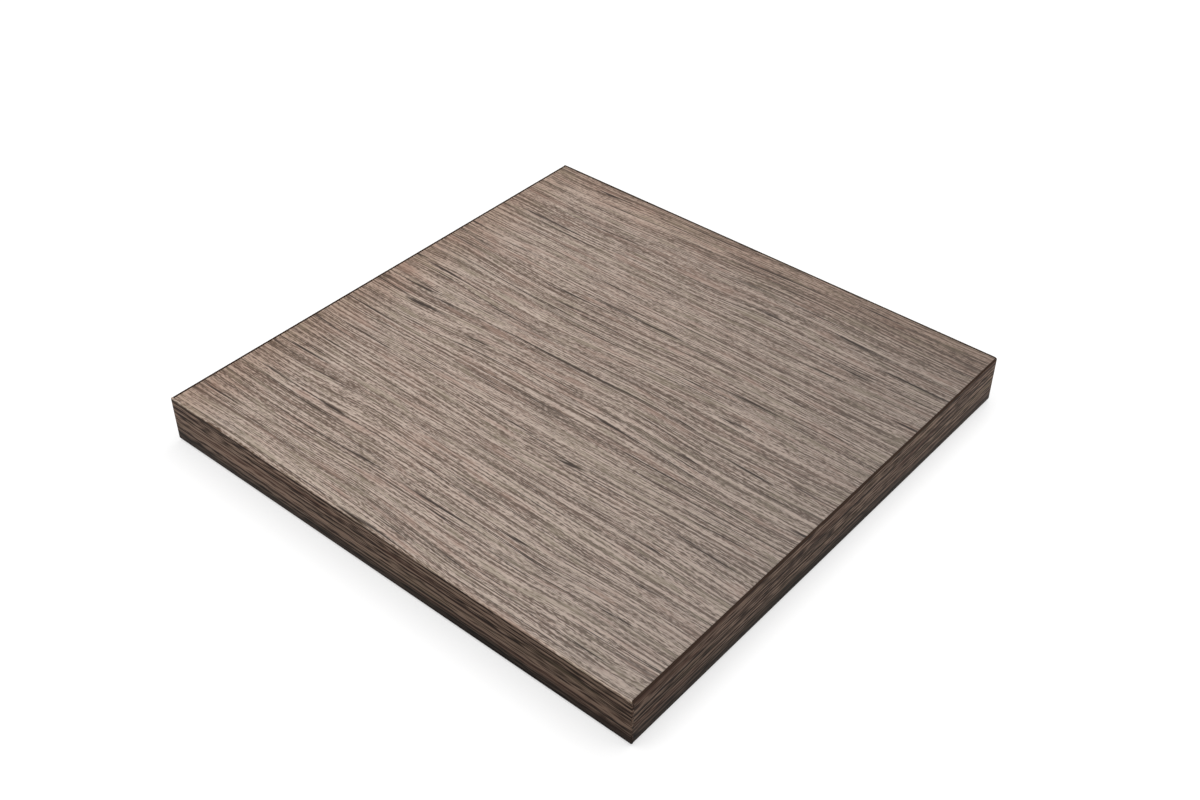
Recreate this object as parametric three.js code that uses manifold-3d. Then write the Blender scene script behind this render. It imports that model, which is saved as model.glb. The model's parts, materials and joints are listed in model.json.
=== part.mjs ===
// Wireless charging pad: a square board in wood decor that hides its charger.
// The board is a chipboard core with a laminate on each face and a band on each edge.
// A charger module sits in a pocket milled from below, under a cover that also closes
// the channel of the lead. The lead ends at a USB-C inlet in the back edge.
// Millimetres, +Z up. The origin is the middle of the surface that the feet stand on.
// +X runs along the grain of the top, and the inlet faces +Y.

import * as THREE from 'three';
import { mergeVertices } from 'three/addons/utils/BufferGeometryUtils.js';
import Module from 'manifold-3d';

const wasm = await Module();
wasm.setup();

// Clearances
const glueLine = 0.05; // between glued faces
const restGap = 0.05; // between faces that rest on or are soldered to each other
const fitGap = 0.3; // around a piece that sits in a pocket, hole or slot
const screwGap = 0.15; // around a screw in the hole that it goes through or holds in
const plugGap = 0.1; // around a plug in its header
const cutPast = 1; // how far a cutting tool runs past the face that it opens

// Board
const boardLength = 200; // along X
const boardWidth = 200; // along Y
const coreThickness = 16;
const laminateThickness = 0.6;
const bandThickness = 0.8;
const bandRounding = 0.4; // of the band's two long outer edges

// Feet
const footHeight = 0.95;
const footRadius = 6.35;
const footInset = 18; // from each edge of the board to the middle of the foot
const footChamfer = 0.25;

// Coil, in one layer wound outwards from its inner turn
const litzDiameter = 1.3;
const coilInnerRadius = 10.5; // to the middle of the litz
const coilTurns = 10;
const turnGap = 0.15;
const coilLeadAngle = THREE.MathUtils.degToRad(20);
const coilSteps = 20; // for each turn
const coilPitch = litzDiameter + turnGap;

// Shield and tape
const ferriteThickness = 1.6;
const ferriteMargin = 2; // past the outer turn
const ferriteSlotWidth = litzDiameter + 2.4; // the inner lead runs out through it
const ferriteHoleRadius = 2.4;
const tapeThickness = 0.3;

// Circuit board and what is on it
const circuitThickness = 1.2;
const circuitMargin = 10.8; // past the shield, for the screws
const tallestOver = 1.4;
const headerSize = { width: 6, depth: 4.2, height: 2.9 };
const plugSize = { width: 4.8, depth: 5.2, height: 2.1 };
const plugInsertion = 2.4;
const inductorHeight = 2.8;

// Module housing and base cover
const housingWall = 1.4;
const housingRoof = 1.2;
const housingChamfer = 0.8;
const bossRadius = 2.8;
const boardBossRadius = 2.5;
const coverThickness = 1.8;
const coverSet = 0.1; // below the face of the board
const coverLedge = 8; // how far the cover reaches past the pocket and the channel
const ventCount = 10;
const ventWidth = 2;
const ventInnerRadius = 13;
const ventOuterRadius = 25;

// Lead and its channel
const leadDiameter = 2.4;
const leadSides = 8;
const channelWidth = 8;
const notchWidth = 5;
const grommetFlange = 0.7;

// Inlet, with its middle at half the board's thickness
const inletSet = 0.1; // behind the face of the back band
const flangeSize = { width: 32, height: 11, depth: 2 };
const bodySize = { width: 18, height: 10, depth: 16 };
const bodyRounding = 0.8;
const recessSize = { width: 13.2, height: 7.4, depth: 5 };
const partitionThickness = 1.2;
const shellSize = { width: 8.94, height: 3.16, depth: 7.5 };
const shellWall = 0.3;
const tongueSize = { width: 6.7, height: 0.7, depth: 7 };
const tongueBase = 2;
const inletBoardSize = { width: 14, depth: 12, thickness: 1 };
const inletCavitySize = { width: 15, height: 7.4 };
const inletFloorWidth = 9; // the open stretch between the rails under the inlet board
const inletScrewSpread = 12; // from the middle of the inlet
const inletPlugRoom = 12; // behind the body, for the plug and the bend of the lead

// Screws: head radius and height, shank radius, whole length, and width of the cross in the head
const coverScrew = { head: 2.8, sink: 1.5, shank: 1.5, length: 12, cross: 2.8 };
const caseScrew = { head: 2.3, sink: 1.2, shank: 1.25, length: 8, cross: 2.3 };
const inletScrew = { head: 2.1, sink: 1.1, shank: 1.1, length: 10, cross: 2.1 };
const boardScrew = { head: 1.9, sink: 1.1, shank: 1, length: 5, cross: 1.9 };
const crossSlot = 0.6; // width of each slot of the cross
const crossDepth = 0.7; // share of the head's height
const headRim = 0.2; // straight edge of a countersunk head
const screwSides = 14;
const bossSides = 16;
const roundSides = 48;
const endSlack = 0.01; // less than half the height, so that a round end keeps four corners

// Heights, from the surface that the feet stand on
const boardBottom = footHeight + glueLine;
const coreBottom = boardBottom + laminateThickness + glueLine;
const coreTop = coreBottom + coreThickness;
const topBottom = coreTop + glueLine;
const boardTop = topBottom + laminateThickness;
const boardMiddle = (boardBottom + boardTop) / 2;
const boardThickness = boardTop - boardBottom;
const coverBottom = boardBottom + coverSet;
const coverTop = coverBottom + coverThickness;
const housingBottom = coverTop + restGap;
const circuitBottom = coverTop + Math.max(headerSize.height, inductorHeight) + restGap + fitGap;
const circuitTop = circuitBottom + circuitThickness;
const ferriteBottom = circuitTop + restGap + tallestOver + fitGap;
const ferriteTop = ferriteBottom + ferriteThickness;
const coilMiddle = ferriteTop + restGap + litzDiameter / 2;
const tapeBottom = coilMiddle + litzDiameter / 2 + restGap;
const roofBottom = tapeBottom + tapeThickness + restGap;
const housingTop = roofBottom + housingRoof;
const pocketTop = housingTop + fitGap;
const leadMiddle = circuitBottom - restGap - headerSize.height / 2;
const channelTop = boardMiddle + leadDiameter;

// Plan sizes
const panelLength = boardLength - 2 * (bandThickness + glueLine);
const panelWidth = boardWidth - 2 * (bandThickness + glueLine);
const coilOuterRadius = coilInnerRadius + coilTurns * coilPitch + litzDiameter / 2;
const ferriteRadius = coilOuterRadius + ferriteMargin;
const circuitRadius = ferriteRadius + circuitMargin;
const housingInnerRadius = circuitRadius + fitGap;
const housingRadius = housingInnerRadius + housingWall;
const pocketRadius = housingRadius + fitGap;
const coverRadius = pocketRadius + coverLedge;
const caseScrewRadius = housingInnerRadius - bossRadius + housingWall / 2;
const boardScrewRadius = ferriteRadius + boardBossRadius + 2 * fitGap;
const coverScrewRadius = pocketRadius + coverLedge / 2;
const inletFace = boardWidth / 2 - inletSet;
const partitionBack = inletFace - recessSize.depth - partitionThickness;
const inletCavityBack = inletFace - bodySize.depth - inletPlugRoom;
const stripWidth = channelWidth + 2 * coverLedge;
const stripEnd = inletCavityBack + coverLedge;

// Angles of the screws round the module
const caseScrewAngles = [45, 135, 225, 315];
const boardScrewAngles = [0, 180, 270];
const coverScrewAngles = [25, 155, 205, 335];

function finish(color, roughness, metalness = 0) {
  return new THREE.MeshStandardMaterial({ color, roughness, metalness });
}

const finishes = {
  topDecor: finish(0x98897e, 0.55),
  edgeDecor: finish(0x5a4a41, 0.5),
  chipboard: finish(0xb99a6b, 0.9),
  darkPlastic: finish(0x26262a, 0.55),
  rubber: finish(0x1d1d1d, 0.85),
  steel: finish(0xb4b6b8, 0.35, 1),
  darkSteel: finish(0x4a4b4d, 0.4, 1),
  copper: finish(0xb8703d, 0.4, 1),
  ferrite: finish(0x3a3a3d, 0.7),
  tape: finish(0xd8c98a, 0.6),
  circuit: finish(0x1f5a38, 0.5),
  chip: finish(0x18181a, 0.45),
  ceramic: finish(0x9a7d5c, 0.5),
  connector: finish(0xe4e0d4, 0.5),
  bead: finish(0x30343c, 0.4),
};

// A closed geometry as a solid that can be cut and joined.
function solid(geometry) {
  const bare = geometry.clone();
  bare.deleteAttribute('normal');
  bare.deleteAttribute('uv');
  const merged = mergeVertices(bare);
  const corners = merged.index.array;
  const kept = [];
  for (let i = 0; i < corners.length; i += 3) {
    const [a, b, c] = corners.slice(i, i + 3);
    if (a !== b && b !== c && c !== a) kept.push(a, b, c);
  }
  return new wasm.Manifold(new wasm.Mesh({
    numProp: 3,
    vertProperties: new Float32Array(merged.attributes.position.array),
    triVerts: new Uint32Array(kept),
  }));
}

// A solid as a geometry again.
function shaped(body) {
  const mesh = body.getMesh();
  const geometry = new THREE.BufferGeometry();
  geometry.setAttribute('position', new THREE.BufferAttribute(mesh.vertProperties, 3));
  geometry.setIndex(new THREE.BufferAttribute(mesh.triVerts, 1));
  geometry.computeVertexNormals();
  return geometry;
}

function cut(geometry, tools) {
  return shaped(tools.reduce((body, tool) => body.subtract(solid(tool)), solid(geometry)));
}

function joined(geometries) {
  return shaped(geometries.map(solid).reduce((body, other) => body.add(other)));
}

// A block centred on X and Y, between two heights.
function block(width, depth, low, high) {
  return new THREE.BoxGeometry(width, depth, high - low).translate(0, 0, (low + high) / 2);
}

// An upright round bar between two heights.
function bar(radius, low, high, sides = roundSides) {
  const length = high - low;
  return new THREE.CylinderGeometry(radius, radius, length, sides)
    .rotateX(Math.PI / 2)
    .translate(0, 0, (low + high) / 2);
}

// A turned piece, from pairs of radius and height that go round its half section.
function turned(profile, sides) {
  const points = profile.map(([radius, height]) => new THREE.Vector2(radius, height));
  return new THREE.LatheGeometry(points, sides).rotateX(Math.PI / 2);
}

// An outline drawn on XY, raised between two heights.
function plate(outline, low, high, curveSegments = 12) {
  const options = { depth: high - low, bevelEnabled: false, curveSegments };
  return new THREE.ExtrudeGeometry(outline, options).translate(0, 0, low);
}

// A rectangle with rounded corners, centred on the origin.
function roundedOutline(width, height, radius) {
  const x = width / 2 - radius;
  const y = height / 2 - radius;
  const outline = new THREE.Shape();
  outline.absarc(x, y, radius, 0, Math.PI / 2);
  outline.absarc(-x, y, radius, Math.PI / 2, Math.PI);
  outline.absarc(-x, -y, radius, Math.PI, Math.PI * 1.5);
  outline.absarc(x, -y, radius, Math.PI * 1.5, Math.PI * 2);
  return outline;
}

// An outline on X and height, drawn round the inlet's middle and carried inwards, along -Y.
function inward(outline, start, depth, curveSegments = 6) {
  const options = { depth, bevelEnabled: false, curveSegments };
  return new THREE.ExtrudeGeometry(outline, options).rotateX(Math.PI / 2).translate(0, -start, 0);
}

function roundEnded({ width, height }, grow = 0) {
  const tall = height + 2 * grow;
  return roundedOutline(width + 2 * grow, tall, tall / 2 - endSlack);
}

function onCircle(radius, degrees) {
  const angle = THREE.MathUtils.degToRad(degrees);
  return [radius * Math.cos(angle), radius * Math.sin(angle)];
}

// A path through given points, so that each section of an extrusion lies at one of them.
class PointPath extends THREE.Curve {
  constructor(points) {
    super();
    this.points = points;
  }

  getPoint(t, target = new THREE.Vector3()) {
    const place = THREE.MathUtils.clamp(t, 0, 1) * (this.points.length - 1);
    const index = Math.min(Math.floor(place), this.points.length - 2);
    return target.lerpVectors(this.points[index], this.points[index + 1], place - index);
  }

  getPointAt(u, target) {
    return this.getPoint(u, target);
  }

  getTangentAt(u, target) {
    return this.getTangent(u, target);
  }
}

// A round wire along a path.
function wire(path, radius, steps, sides) {
  const section = new THREE.Shape();
  section.absarc(0, 0, radius, 0, Math.PI * 2);
  const options = { extrudePath: path, steps, curveSegments: sides / 2, bevelEnabled: false };
  return new THREE.ExtrudeGeometry(section, options);
}

function add(group, name, geometry, material, position = [0, 0, 0], turn = 0) {
  const mesh = new THREE.Mesh(geometry, material);
  mesh.name = name;
  mesh.position.set(...position);
  mesh.rotation.z = turn;
  group.add(mesh);
  return mesh;
}

// Screws stand with the head's face at height 0 and the tip up. A cross is cut into the head.
function screwShape(screw, countersunk) {
  const rim = countersunk ? headRim : screw.sink;
  const profile = [
    [0, 0],
    [screw.head, 0],
    [screw.head, rim],
    [screw.shank, screw.sink],
    [screw.shank, screw.length - screw.shank],
    [0, screw.length],
  ];
  const slot = block(screw.cross, crossSlot, -cutPast, screw.sink * crossDepth);
  return cut(turned(profile, screwSides), [slot, slot.clone().rotateZ(Math.PI / 2)]);
}

// The hole for a countersunk screw, from below its head to past its tip.
function screwHole(screw) {
  const head = screw.head + screwGap;
  const shank = screw.shank + screwGap;
  return turned([
    [0, -cutPast],
    [head, -cutPast],
    [head, headRim + screwGap],
    [shank, screw.sink + screwGap],
    [shank, screw.length + fitGap],
    [0, screw.length + fitGap],
  ], screwSides);
}

// The plain hole that holds a screw, from one height to past its tip.
function shankHole(screw, face, low) {
  return bar(screw.shank + screwGap, low, face + screw.length + fitGap, screwSides);
}

// ---- The cover's outline: a disc under the module and a strip under the channel

function coverOutline(grow) {
  const radius = coverRadius + grow;
  const half = stripWidth / 2 + grow;
  const end = stripEnd + grow - half;
  const opening = Math.asin(half / radius);
  const outline = new THREE.Shape();
  outline.absarc(0, 0, radius, Math.PI / 2 + opening, Math.PI * 2.5 - opening);
  outline.absarc(0, end, half, 0, Math.PI);
  outline.closePath();
  return outline;
}

const stripScrewSpread = channelWidth / 2 + coverLedge / 2;
const stripScrewPlace = (coverRadius + stripEnd) / 2;
const coverScrewSpots = [
  ...coverScrewAngles.map((angle) => onCircle(coverScrewRadius, angle)),
  [stripScrewSpread, stripScrewPlace],
  [-stripScrewSpread, stripScrewPlace],
];

// ---- Board

function coreShape() {
  const panel = block(panelLength, panelWidth, coreBottom, coreTop);
  const low = coreBottom - cutPast;
  const channelLength = inletCavityBack + channelWidth;
  const coverSeat = plate(coverOutline(fitGap), low, coverTop + fitGap, roundSides / 2);
  const pocket = bar(pocketRadius, low, pocketTop);
  const channel = block(channelWidth, channelLength, low, channelTop)
    .translate(0, channelLength / 2, 0);
  const inletRoom = inletCuts().map((tool) => tool.translate(0, inletFace, boardMiddle));
  const screwRoom = coverScrewSpots.map(([x, y]) => (
    shankHole(coverScrew, coverBottom, low).translate(x, y, 0)
  ));
  return cut(panel, [coverSeat, pocket, channel, ...inletRoom, ...screwRoom]);
}

// What the inlet takes out of the back edge: the flange's seat, the body's cavity and two holes.
function inletCuts() {
  const seat = inward(roundEnded(flangeSize, fitGap), -cutPast, flangeSize.depth + fitGap + cutPast);
  const cavity = roundedOutline(
    bodySize.width + 2 * fitGap, bodySize.height + 2 * fitGap, bodyRounding + fitGap,
  );
  const room = inward(cavity, 0, bodySize.depth + inletPlugRoom);
  const holes = [-1, 1].map((side) => (
    shankHole(inletScrew, 0, 0).rotateX(Math.PI / 2).translate(side * inletScrewSpread, 0, 0)
  ));
  return [seat, room, ...holes];
}

// A band lies along X with its outer face on Y = 0 and its two long outer edges rounded.
function bandShape(length) {
  const section = new THREE.Shape();
  const r = bandRounding;
  section.moveTo(bandThickness, 0);
  section.lineTo(bandThickness, boardThickness);
  section.absarc(r, boardThickness - r, r, Math.PI / 2, Math.PI);
  section.absarc(r, r, r, Math.PI, Math.PI * 1.5);
  section.closePath();
  const options = { depth: length, bevelEnabled: false, curveSegments: 4 };
  return new THREE.ExtrudeGeometry(section, options)
    .rotateX(Math.PI / 2)
    .rotateZ(Math.PI / 2)
    .translate(-length / 2, 0, 0);
}

function makeBoard() {
  const board = new THREE.Group();
  add(board, 'core_board', coreShape(), finishes.chipboard);
  const topSheet = block(panelLength, panelWidth, topBottom, boardTop);
  add(board, 'top_laminate', topSheet, finishes.topDecor);
  const opening = plate(
    coverOutline(fitGap), boardBottom - cutPast, coreBottom + cutPast, roundSides / 2,
  );
  const bottomSheet = block(panelLength, panelWidth, boardBottom, boardBottom + laminateThickness);
  add(board, 'bottom_laminate', cut(bottomSheet, [opening]), finishes.topDecor);

  const sideLength = panelWidth;
  const half = { x: boardLength / 2, y: boardWidth / 2 };
  const frontBand = bandShape(boardLength);
  const window = inward(roundEnded(flangeSize, fitGap), -cutPast, bandThickness + 2 * cutPast)
    .translate(0, 0, boardMiddle - boardBottom);
  const backBand = cut(frontBand, [window.rotateZ(Math.PI)]);
  const bands = [
    ['front', frontBand, [0, -half.y], 0],
    ['right', bandShape(sideLength), [half.x, 0], 1],
    ['back', backBand, [0, half.y], 2],
    ['left', bandShape(sideLength), [-half.x, 0], 3],
  ];
  for (const [side, shape, place, quarterTurns] of bands) {
    const position = [...place, boardBottom];
    add(board, `edge_band_${side}`, shape, finishes.edgeDecor, position, quarterTurns * Math.PI / 2);
  }

  const footProfile = [
    [0, 0],
    [footRadius - footChamfer, 0],
    [footRadius, footChamfer],
    [footRadius, footHeight],
    [0, footHeight],
  ];
  const foot = shaped(solid(turned(footProfile, roundSides / 2)));
  const corners = [[-1, -1], [1, -1], [1, 1], [-1, 1]];
  corners.forEach(([x, y], index) => {
    const place = [x * (half.x - footInset), y * (half.y - footInset), 0];
    add(board, `rubber_foot_${index + 1}`, foot, finishes.rubber, place);
  });
  return board;
}

// ---- Base cover and its screws

function makeCover() {
  const group = new THREE.Group();
  const sheet = plate(coverOutline(0), coverBottom, coverTop, roundSides / 2);
  const ventOutline = roundedOutline(
    ventOuterRadius - ventInnerRadius, ventWidth, ventWidth / 2 - endSlack,
  );
  const vents = Array.from({ length: ventCount }, (_, index) => (
    plate(ventOutline, coverBottom - cutPast, coverTop + cutPast, 2)
      .translate((ventInnerRadius + ventOuterRadius) / 2, 0, 0)
      .rotateZ(index * 2 * Math.PI / ventCount)
  ));
  const caseSpots = caseScrewAngles.map((angle) => onCircle(caseScrewRadius, angle));
  const holes = [
    ...coverScrewSpots.map(([x, y]) => screwHole(coverScrew).translate(x, y, coverBottom)),
    ...caseSpots.map(([x, y]) => screwHole(caseScrew).translate(x, y, coverBottom)),
  ];
  add(group, 'base_cover', cut(sheet, [...vents, ...holes]), finishes.darkPlastic);
  coverScrewSpots.forEach((spot, index) => {
    const shape = screwShape(coverScrew, true);
    add(group, `cover_screw_${index + 1}`, shape, finishes.steel, [...spot, coverBottom]);
  });
  caseSpots.forEach((spot, index) => {
    const shape = screwShape(caseScrew, true);
    add(group, `case_screw_${index + 1}`, shape, finishes.darkSteel, [...spot, coverBottom]);
  });
  return group;
}

// ---- Charger module

const boardScrewFace = circuitBottom - restGap - boardScrew.sink; // the pan head's outer face
const notchTop = leadMiddle + leadDiameter / 2 + grommetFlange;

function housingShape() {
  const shell = turned([
    [0, roofBottom],
    [housingInnerRadius, roofBottom],
    [housingInnerRadius, housingBottom],
    [housingRadius, housingBottom],
    [housingRadius, housingTop - housingChamfer],
    [housingRadius - housingChamfer, housingTop],
    [0, housingTop],
  ], roundSides);
  const intoRoof = roofBottom + housingRoof / 2;
  const bosses = [];
  const holes = [];
  for (const angle of caseScrewAngles) {
    const spot = [...onCircle(caseScrewRadius, angle), 0];
    bosses.push(bar(bossRadius, housingBottom, intoRoof, bossSides).translate(...spot));
    holes.push(shankHole(caseScrew, coverBottom, housingBottom - cutPast).translate(...spot));
  }
  for (const angle of boardScrewAngles) {
    const spot = [...onCircle(boardScrewRadius, angle), 0];
    bosses.push(bar(boardBossRadius, circuitTop + restGap, intoRoof, bossSides).translate(...spot));
    holes.push(shankHole(boardScrew, boardScrewFace, circuitTop).translate(...spot));
  }
  const notch = block(notchWidth, 2 * housingWall + 2 * fitGap, housingBottom - cutPast, notchTop)
    .translate(0, housingRadius - housingWall / 2, 0);
  return cut(joined([shell, ...bosses]), [...holes, notch]);
}

// The litz comes up from the circuit board, in along the shield's slot and up to the inner
// turn, goes round outwards, and drops past the shield's edge to the circuit board.
function coilPath() {
  const slotMiddle = coilMiddle - litzDiameter - 2 * restGap;
  const foot = circuitTop + restGap;
  const out = ferriteRadius + litzDiameter / 2 + fitGap;
  const bend = litzDiameter;
  const points = [];
  // places along the slot, across it and in height
  const addAlong = (along, across, height) => {
    const angle = coilLeadAngle + across / along;
    points.push(new THREE.Vector3(along * Math.cos(angle), along * Math.sin(angle), height));
  };
  addAlong(out + bend, 0, foot);
  addAlong(out + bend, 0, slotMiddle - bend);
  addAlong(out + bend * 0.7, 0, slotMiddle - bend * 0.3);
  addAlong(out, 0, slotMiddle);
  addAlong(coilInnerRadius + 2 * bend, 0, slotMiddle);
  addAlong(coilInnerRadius + bend, 0, slotMiddle);
  addAlong(coilInnerRadius + bend * 0.25, bend * 0.1, slotMiddle + bend * 0.25);
  addAlong(coilInnerRadius, bend * 0.5, slotMiddle + bend * 0.75);
  const start = coilLeadAngle + (2 * bend) / coilInnerRadius;
  const count = coilTurns * coilSteps;
  for (let index = 0; index <= count; index += 1) {
    const turn = index / coilSteps;
    const angle = start + turn * 2 * Math.PI;
    const radius = coilInnerRadius + turn * coilPitch;
    points.push(new THREE.Vector3(
      radius * Math.cos(angle), radius * Math.sin(angle), coilMiddle,
    ));
  }
  const last = coilInnerRadius + coilTurns * coilPitch;
  const arc = (start - coilLeadAngle) * last;
  const leave = out - last;
  addAlong(last + leave * 0.35, arc + 2 * leave, coilMiddle);
  addAlong(last + leave * 0.75, arc + 3 * leave, coilMiddle);
  addAlong(out, arc + 3.6 * leave, coilMiddle - bend * 0.3);
  addAlong(out + bend * 0.3, arc + 3.8 * leave, coilMiddle - bend);
  addAlong(out + bend * 0.3, arc + 3.8 * leave, foot);
  return new PointPath(points);
}

function coilShape() {
  const path = coilPath();
  return wire(path, litzDiameter / 2, path.points.length - 1, 6);
}

function ferriteShape() {
  const disc = bar(ferriteRadius, ferriteBottom, ferriteTop);
  const low = ferriteBottom - cutPast;
  const high = ferriteTop + cutPast;
  const inner = coilInnerRadius - litzDiameter;
  const length = ferriteRadius + cutPast - inner;
  const slot = block(length, ferriteSlotWidth, low, high)
    .translate(inner + length / 2, litzDiameter / 2, 0)
    .rotateZ(coilLeadAngle);
  return cut(disc, [slot, bar(ferriteHoleRadius, low, high, bossSides)]);
}

// A bead in the middle of the coil, on two legs from the circuit board.
function thermistorShape() {
  const beadRadius = 1.1;
  const leg = { radius: 0.25, spread: 0.7 };
  const beadMiddle = ferriteTop + restGap;
  const bead = new THREE.SphereGeometry(beadRadius, 12, 8)
    .rotateX(Math.PI / 2)
    .translate(0, 0, beadMiddle);
  const legs = [-1, 1].map((side) => (
    bar(leg.radius, circuitTop + restGap, beadMiddle, 8).translate(side * leg.spread, 0, 0)
  ));
  return joined([bead, ...legs]);
}

function circuitShape() {
  const disc = bar(circuitRadius, circuitBottom, circuitTop);
  const low = circuitBottom - cutPast;
  const high = circuitTop + cutPast;
  const notches = caseScrewAngles.map((angle) => (
    bar(bossRadius + fitGap, low, high, bossSides).translate(...onCircle(caseScrewRadius, angle), 0)
  ));
  const holes = boardScrewAngles.map((angle) => (
    bar(boardScrew.shank + screwGap, low, high, screwSides)
      .translate(...onCircle(boardScrewRadius, angle), 0)
  ));
  const grommetWidth = notchWidth + 2 * grommetFlange + 2 * fitGap;
  const grommetNotch = block(grommetWidth, circuitMargin, low, high)
    .translate(0, housingInnerRadius - grommetFlange - 2 * fitGap + circuitMargin / 2, 0);
  return cut(disc, [...notches, ...holes, grommetNotch]);
}

// A header has its back on Y = 0 and its socket open towards +Y, with its middle at height 0.
function headerShape() {
  const { width, depth, height } = headerSize;
  const shell = block(width, depth, -height / 2, height / 2).translate(0, depth / 2, 0);
  const tall = plugSize.height / 2 + plugGap;
  const deep = plugInsertion + plugGap;
  const socket = block(plugSize.width + 2 * plugGap, deep + cutPast, -tall, tall)
    .translate(0, depth - deep + (deep + cutPast) / 2, 0);
  return cut(shell, [socket]);
}

// A plug is part of the way into the header, on the same axes.
function plugShape() {
  const { width, depth, height } = plugSize;
  const start = headerSize.depth - plugInsertion;
  return block(width, depth, -height / 2, height / 2).translate(0, start + depth / 2, 0);
}

// How far the lead's end lies from the back of its header.
const leadOffset = headerSize.depth - plugInsertion + plugSize.depth + restGap;
const moduleHeaderBack = housingInnerRadius - 2 * grommetFlange - fitGap - leadOffset - leadDiameter;
const inletHeaderBack = inletFace - recessSize.depth - shellSize.depth - headerSize.depth / 2;
const inletBoardTop = boardMiddle - shellSize.height / 2 - restGap;
const inletLeadMiddle = inletBoardTop + restGap + headerSize.height / 2;

// Small parts on the circuit board: name, size, middle, whether above it, and finish.
// The bridge stands in two rows of two, and the capacitors in one row.
const bridgePitch = 5.5;
const capacitorPitch = 4.6;
const smallParts = [
  ['controller_chip', [6, 6, 0.9], [-10, 6], true, finishes.chip],
  ['crystal', [3.2, 2.5, 0.8], [-10, 13], true, finishes.steel],
  ['power_inductor', [6.6, 6.6, inductorHeight], [-12, -8], false, finishes.ferrite],
];
for (let index = 0; index < 4; index += 1) {
  const column = index % 2;
  const row = Math.floor(index / 2);
  const transistorPlace = [6 + bridgePitch * column, -6 - bridgePitch * row];
  const capacitorPlace = [6 + capacitorPitch * index, 10];
  smallParts.push(
    [`bridge_transistor_${index + 1}`, [3.3, 3.3, 1], transistorPlace, true, finishes.chip],
    [`resonant_capacitor_${index + 1}`, [3.2, 2.5, tallestOver], capacitorPlace, true,
      finishes.ceramic],
  );
}
for (let index = 0; index < 2; index += 1) {
  smallParts.push(
    [`input_capacitor_${index + 1}`, [7.3, 4.3, 2], [-12, 6 + 6 * index], false, finishes.ceramic],
  );
}

function makeModule() {
  const group = new THREE.Group();
  add(group, 'module_housing', housingShape(), finishes.darkPlastic);
  const tape = bar(coilOuterRadius, tapeBottom, tapeBottom + tapeThickness);
  add(group, 'coil_tape', tape, finishes.tape);
  add(group, 'charging_coil', coilShape(), finishes.copper);
  add(group, 'ferrite_shield', ferriteShape(), finishes.ferrite);
  add(group, 'thermistor', thermistorShape(), finishes.bead);
  add(group, 'circuit_board', circuitShape(), finishes.circuit);
  for (const [name, [length, width, height], [x, y], above, material] of smallParts) {
    const low = above ? circuitTop + restGap : circuitBottom - restGap - height;
    add(group, name, block(length, width, 0, height), material, [x, y, low]);
  }
  boardScrewAngles.forEach((angle, index) => {
    const place = [...onCircle(boardScrewRadius, angle), boardScrewFace];
    add(group, `board_screw_${index + 1}`, screwShape(boardScrew, false), finishes.steel, place);
  });
  return group;
}

// ---- Lead, from the circuit board to the inlet board

// The grommet's middle fills the notch in the housing's wall, with a flange on each side.
function grommetShape() {
  const low = housingBottom + restGap;
  const wall = housingRadius - housingWall / 2;
  const reach = housingWall + 2 * fitGap;
  const top = notchTop - restGap;
  const core = block(notchWidth - 2 * restGap, reach + 2 * grommetFlange, low, top);
  const flanges = [-1, 1].map((side) => (
    block(notchWidth + 2 * grommetFlange, grommetFlange, low, top)
      .translate(0, side * (reach + grommetFlange) / 2, 0)
  ));
  const hole = bar(leadDiameter / 2 + restGap, -reach * 2, reach * 2, leadSides * 2)
    .rotateX(Math.PI / 2)
    .translate(0, 0, leadMiddle);
  return cut(joined([core, ...flanges]), [hole]).translate(0, wall, 0);
}

function makeLead() {
  const group = new THREE.Group();
  const start = moduleHeaderBack + leadOffset;
  const end = inletHeaderBack - leadOffset;
  const drop = inletLeadMiddle - leadMiddle;
  const route = [
    [0, start, leadMiddle],
    [0, housingRadius + fitGap, leadMiddle],
    [0.6, housingRadius + 8, leadMiddle + drop * 0.05],
    [0.8, (start + end) / 2 + 4, leadMiddle + drop * 0.5],
    [-0.5, end - 9, leadMiddle + drop * 0.94],
    [0, end - 4, inletLeadMiddle],
    [0, end, inletLeadMiddle],
  ];
  const path = new THREE.CatmullRomCurve3(route.map((point) => new THREE.Vector3(...point)));
  add(group, 'internal_lead', wire(path, leadDiameter / 2, 26, leadSides), finishes.rubber);
  add(group, 'lead_grommet', grommetShape(), finishes.rubber);
  const ends = [
    ['lead', [0, moduleHeaderBack, leadMiddle], 0],
    ['inlet', [0, inletHeaderBack, inletLeadMiddle], Math.PI],
  ];
  for (const [name, place, turn] of ends) {
    add(group, `${name}_header`, headerShape(), finishes.connector, place, turn);
    add(group, `${name}_plug`, plugShape(), finishes.connector, place, turn);
  }
  return group;
}

// ---- Inlet, drawn round its middle with its face on Y = 0

function bezelShape() {
  const flange = inward(roundEnded(flangeSize), 0, flangeSize.depth);
  const body = inward(roundedOutline(bodySize.width, bodySize.height, bodyRounding), 0, bodySize.depth);
  const recess = inward(roundEnded(recessSize), -cutPast, recessSize.depth + cutPast);
  const mouth = inward(roundEnded(shellSize, fitGap), 0, recessSize.depth + 2 * cutPast);
  const back = recessSize.depth + partitionThickness;
  const length = bodySize.depth - back + cutPast;
  const railTop = inletBoardTop - inletBoardSize.thickness - restGap - boardMiddle;
  const half = inletCavitySize.height / 2;
  const upper = block(inletCavitySize.width, length, railTop, half)
    .translate(0, -back - length / 2, 0);
  const lower = block(inletFloorWidth, length, -half, railTop + cutPast)
    .translate(0, -back - length / 2, 0);
  const holes = [-1, 1].map((side) => (
    screwHole(inletScrew).rotateX(Math.PI / 2).translate(side * inletScrewSpread, 0, 0)
  ));
  return cut(joined([flange, body]), [recess, mouth, upper, lower, ...holes]);
}

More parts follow.
